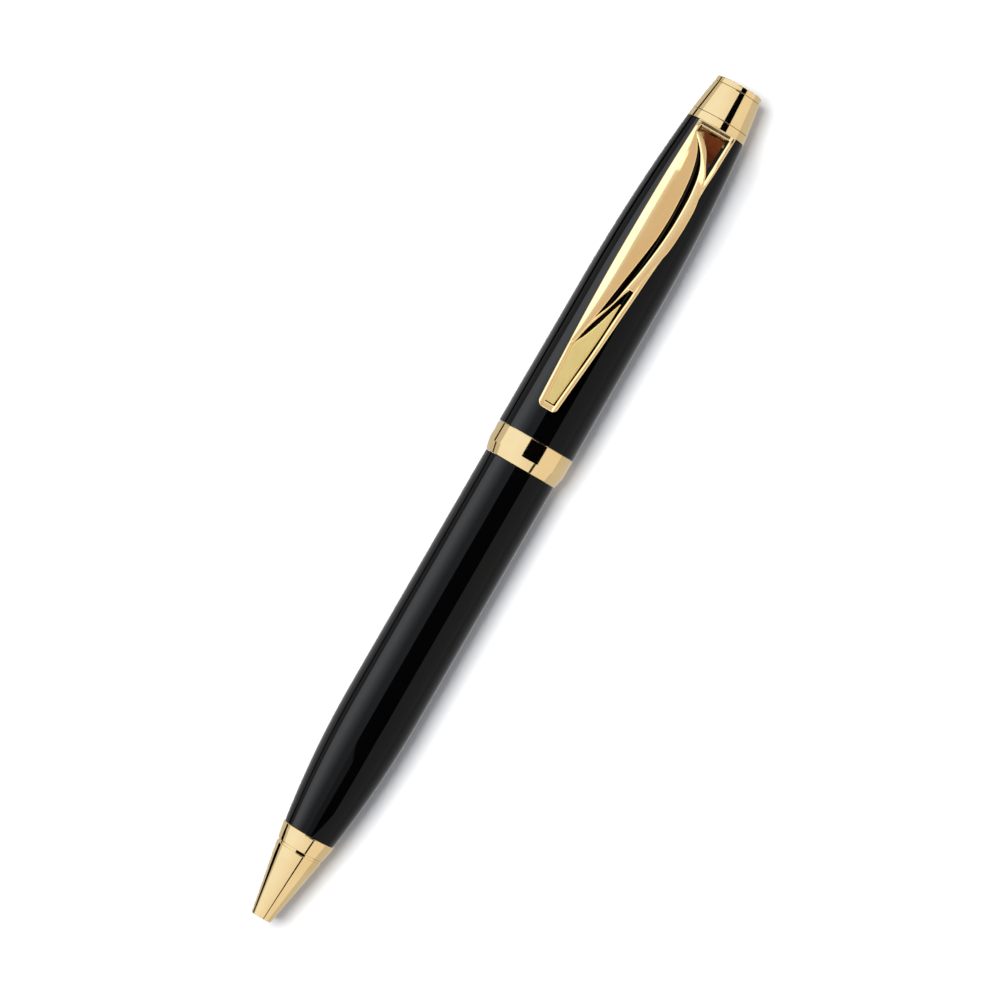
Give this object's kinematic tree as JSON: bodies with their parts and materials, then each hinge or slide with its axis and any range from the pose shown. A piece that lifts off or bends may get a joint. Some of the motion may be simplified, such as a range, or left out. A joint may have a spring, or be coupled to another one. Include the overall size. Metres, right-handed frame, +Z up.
{
  "type": "ballpoint pen",
  "caption": "Twist-action ballpoint pen with tapered lacquered barrels, plated nose cone, centre band and finial, and a pierced flat clip with a leaf and ribbon pattern",
  "frame": {"origin": "under the middle of the pen, on the plane the pen lies on", "axes": "+X along the pen towards the finial, +Z up through the clip, +Y across the pen on the side of the clip's leaf"},
  "size_m": [0.14, 0.0124, 0.0152],
  "materials": {
    "gold_plate": "polished pale gold plate over brass",
    "black_lacquer": "deep gloss black lacquer over brass tube",
    "raw_brass": "turned, unplated",
    "spring_steel": "bright wire and strip",
    "tube_steel": "drawn and brushed along its length",
    "nickel_silver": "fine turned",
    "carbide": "lapped",
    "ivory_nylon": "moulded satin",
    "black_rubber": "matte",
    "ink_paste": "wet paste",
    "amber_enamel": "glossy brown enamel"
  },
  "bodies": {
    "upper": {"upper_barrel": "black_lacquer", "centre_band": "gold_plate", "cam_sleeve": "ivory_nylon", "end_plug": "raw_brass", "clip_hanger": "spring_steel", "clip_ring": "gold_plate", "finial_body": "gold_plate", "finial_disc": "gold_plate", "finial_stud": "tube_steel", "stud_nut": "tube_steel", "lock_washer": "spring_steel"},
    "mechanism": {"threaded_nipple": "raw_brass", "friction_ring": "black_rubber", "retaining_ring": "spring_steel", "guide_sleeve": "raw_brass"},
    "refill": {"refill_tip": "nickel_silver", "refill_neck": "ivory_nylon", "refill_tube": "tube_steel", "ink": "ink_paste", "refill_end_cap": "ivory_nylon", "refill_carrier": "ivory_nylon"},
    "ball": {"writing_ball": "carbide"},
    "lower": {"lower_barrel": "black_lacquer", "barrel_bush": "raw_brass", "nose_collar": "gold_plate", "nose_cone": "gold_plate", "return_spring": "spring_steel"},
    "clip_arm": {"clip": "gold_plate", "clip_inlay": "amber_enamel"}
  },
  "joints": [
    {"name": "twist", "type": "hinge", "parent": "upper", "child": "mechanism", "pos_m": [0.0058, 0, 0.00618], "axis": [1, 0, 0], "range_deg": [0, 180]},
    {"name": "refill_drive", "type": "slide", "parent": "mechanism", "child": "refill", "axis": [-1, 0, 0], "range_m": [0, 0.005], "deforming": ["return_spring"]},
    {"name": "ball_roll", "type": "hinge", "parent": "refill", "child": "ball", "pos_m": [-0.0679, 0, 0.00618], "axis": [0, 1, 0], "continuous": true},
    {"name": "barrel_release", "type": "slide", "parent": "mechanism", "child": "lower", "axis": [-1, 0, 0], "range_m": [0, 0.08]},
    {"name": "clip_flex", "type": "hinge", "parent": "upper", "child": "clip_arm", "pos_m": [0.0619, 0, 0.01038], "axis": [0, 1, 0], "range_deg": [0, 4], "stiffness_Nm_per_rad": 2, "springref_deg": -1.72}
  ],
  "couplings": [
    {"joint": "twist", "follows": "refill_drive", "rad_per_m": 628.32}
  ]
}
